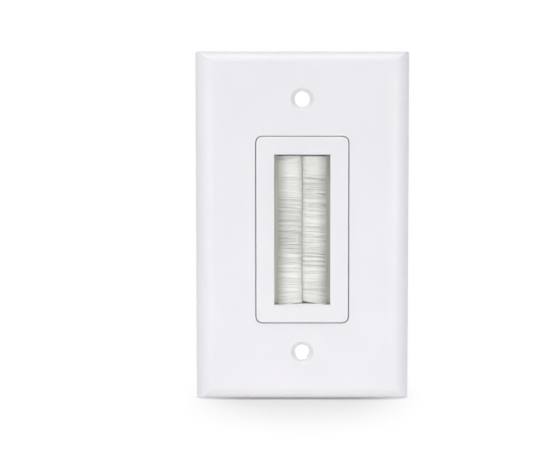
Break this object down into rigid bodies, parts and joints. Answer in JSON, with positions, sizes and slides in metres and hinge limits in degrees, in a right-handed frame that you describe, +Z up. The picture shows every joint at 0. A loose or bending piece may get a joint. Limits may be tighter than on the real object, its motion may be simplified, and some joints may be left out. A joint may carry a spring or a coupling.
{
  "type": "brush cable wall plate",
  "caption": "Rectangular wall plate with countersunk fixing holes and a snap-in insert whose window is closed by two facing brushes that cables pass between.",
  "frame": {"origin": "midpoint between the two fixing holes, on the plane of the wall", "axes": "+Z up the wall, +X to the right seen from the room, -Y out of the wall into the room"},
  "size_m": [0.0698, 0.0082, 0.1142],
  "materials": {
    "plate": "satin white moulding",
    "insert": "satin white moulding",
    "spine": "fused nylon",
    "bristles": "translucent nylon filament",
    "screw": "zinc plated"
  },
  "bodies": {
    "root": {"face_plate": "plate", "insert_frame": "insert", "brush_spine_left": "spine", "brush_spine_right": "spine", "bristles_left": "bristles", "bristles_right": "bristles", "clamp_frame": "insert", "clamp_screw_1": "screw", "clamp_screw_2": "screw", "clamp_screw_3": "screw", "clamp_screw_4": "screw"}
  },
  "joints": []
}
